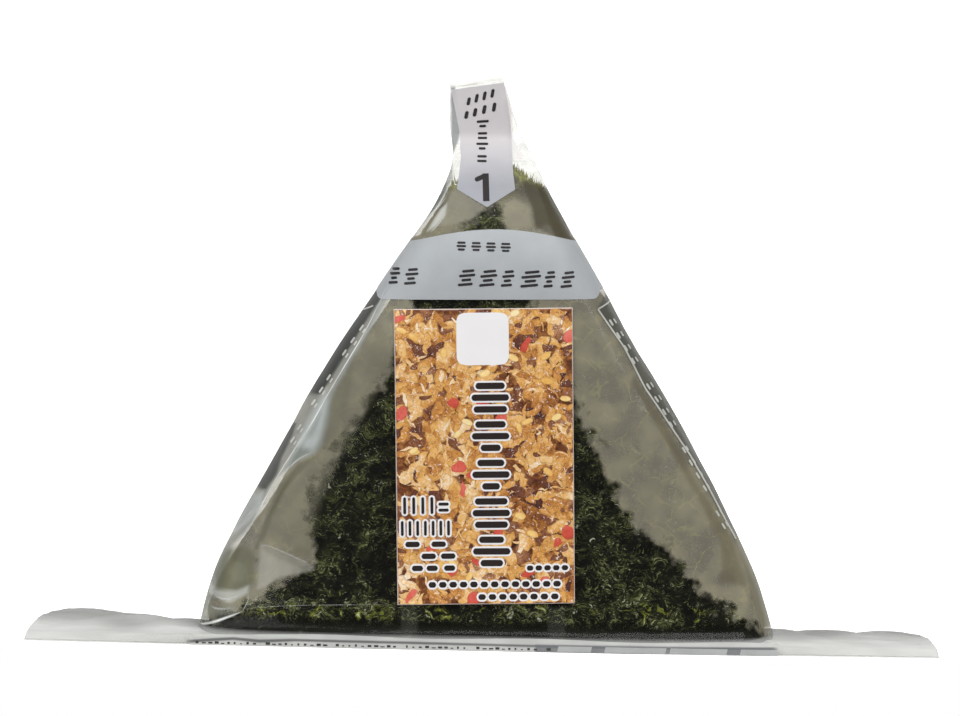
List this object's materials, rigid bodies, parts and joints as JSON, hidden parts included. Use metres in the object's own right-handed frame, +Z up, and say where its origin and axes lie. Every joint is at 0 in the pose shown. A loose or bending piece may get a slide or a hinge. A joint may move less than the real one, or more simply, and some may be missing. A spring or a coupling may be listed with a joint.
{
  "type": "wrapped rice ball",
  "caption": "Triangular rice ball in nori, sealed in clear printed film with a pull tab at the apex, a flat wing at each lower corner and a paper label on the front.",
  "frame": {"origin": "middle of the base, on the surface that the pack stands on", "axes": "+Z up to the pull tab, +X to the right of the front and along both wings, and the front with the label faces -Y"},
  "size_m": [0.1366, 0.0378, 0.0857],
  "materials": {
    "film": "clear oriented polypropylene film, glossy, over dark nori",
    "label_paper": "coated label paper with a full-colour print of chopped leaves, seeds and chilli",
    "nori": "roasted seaweed sheet, dark green and fibrous, with a low sheen",
    "film_print": "light grey gravure ink on the film"
  },
  "bodies": {
    "root": {"film_pack": "film", "label": "label_paper"}
  },
  "joints": []
}
